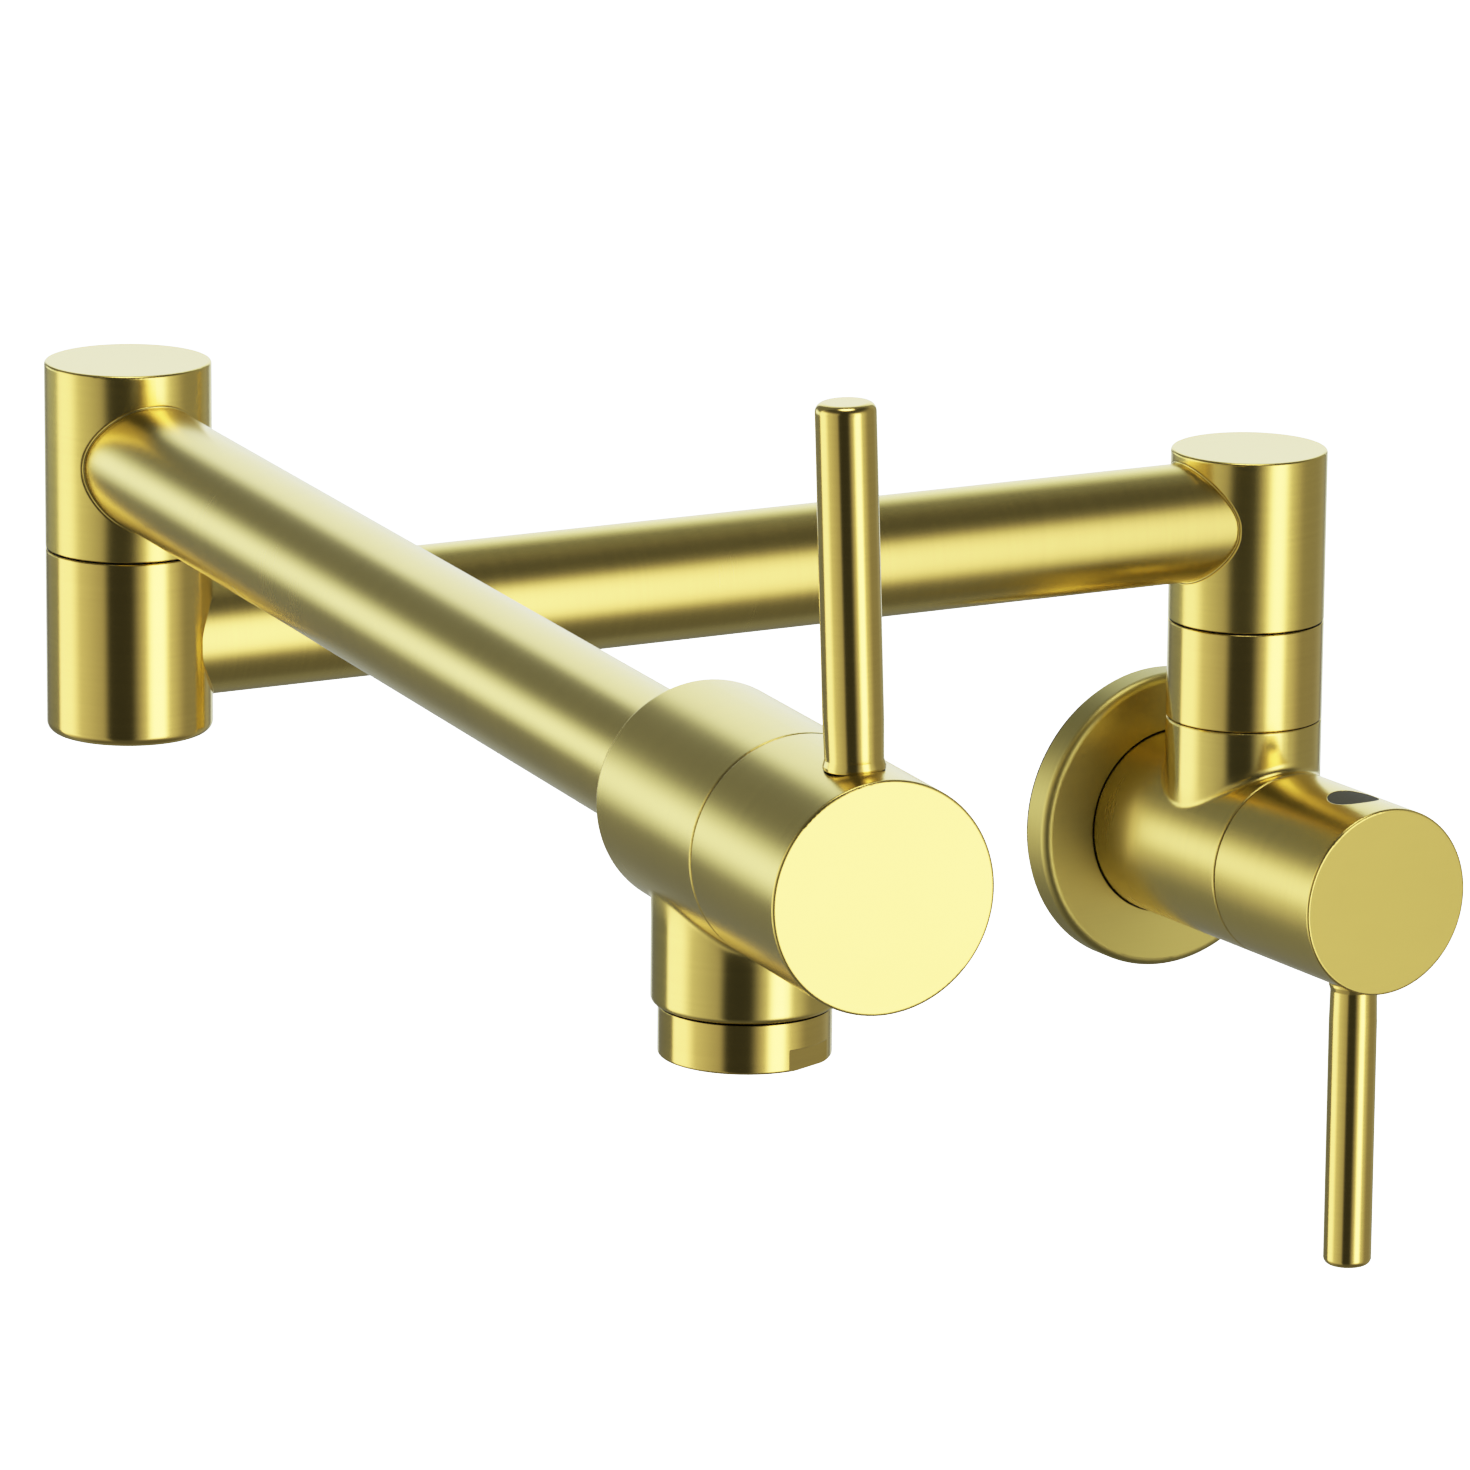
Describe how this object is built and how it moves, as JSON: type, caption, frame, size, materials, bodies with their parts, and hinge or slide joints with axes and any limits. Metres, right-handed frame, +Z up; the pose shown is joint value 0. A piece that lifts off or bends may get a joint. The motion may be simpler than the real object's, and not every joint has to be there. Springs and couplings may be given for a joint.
{
  "type": "wall mounted pot filler",
  "caption": "Wall mounted pot filler tap with two swinging arms, a lever valve at the wall and a lever valve above the aerated spout.",
  "frame": {"origin": "centre of the inlet thread's mouth, on the plane of the wall", "axes": "+Z up, -Y out of the wall towards the room, +X to the right seen from the room"},
  "size_m": [0.3529, 0.3732, 0.2635],
  "materials": {
    "satin_brass": "brushed, satin",
    "turned_brass": "finely turned, semi-polished",
    "plain_brass": "machined, plain",
    "ceramic": "lapped",
    "steel": "stainless, plain",
    "acetal": "moulded",
    "plug_rubber": "matt, olive-grey",
    "seal_rubber": "matt"
  },
  "bodies": {
    "base": {"wall_flange": "satin_brass", "flange_gasket": "seal_rubber", "flange_o_ring": "seal_rubber", "inlet_body": "satin_brass", "inlet_strainer": "steel", "column_collar": "turned_brass", "column_washer": "acetal", "inlet_seat_seal": "seal_rubber", "inlet_fixed_disc": "ceramic", "inlet_cartridge": "plain_brass", "inlet_cartridge_nut": "plain_brass"},
    "inlet_handle": {"inlet_moving_disc": "ceramic", "inlet_spindle": "plain_brass", "inlet_hub": "satin_brass", "inlet_lever": "turned_brass", "inlet_grub_screw": "steel", "inlet_hub_plug": "plug_rubber"},
    "arm_1": {"column_head": "satin_brass", "column_o_rings": "seal_rubber", "column_clip": "steel", "arm_1_tube": "satin_brass", "elbow_lower": "turned_brass", "elbow_washer": "acetal"},
    "arm_2": {"elbow_upper": "satin_brass", "elbow_o_rings": "seal_rubber", "elbow_clip": "steel", "arm_2_tube": "satin_brass", "outlet_body": "satin_brass", "aerator_ring": "turned_brass", "aerator_insert": "acetal", "aerator_washer": "seal_rubber", "outlet_seat_seal": "seal_rubber", "outlet_fixed_disc": "ceramic", "outlet_cartridge": "plain_brass", "outlet_cartridge_nut": "plain_brass"},
    "outlet_handle": {"outlet_moving_disc": "ceramic", "outlet_spindle": "plain_brass", "outlet_hub": "satin_brass", "outlet_lever": "turned_brass", "outlet_grub_screw": "steel", "outlet_hub_plug": "plug_rubber"}
  },
  "joints": [
    {"name": "inlet_valve_turn", "type": "hinge", "parent": "base", "child": "inlet_handle", "pos_m": [0, -0.052, 0], "axis": [0, -1, 0], "range_deg": [0, 90]},
    {"name": "column_swivel", "type": "hinge", "parent": "base", "child": "arm_1", "pos_m": [0, -0.0338, 0.0486], "axis": [0, 0, 1], "range_deg": [0, 187]},
    {"name": "elbow_swivel", "type": "hinge", "parent": "arm_1", "child": "arm_2", "pos_m": [-0.25003, -0.01851, 0.0884], "axis": [0, 0, 1], "continuous": true},
    {"name": "outlet_valve_turn", "type": "hinge", "parent": "arm_2", "child": "outlet_handle", "pos_m": [-0.29767, -0.33727, 0.1062], "axis": [-0.1478, -0.989, 0], "range_deg": [-2.2, 87.8]}
  ]
}
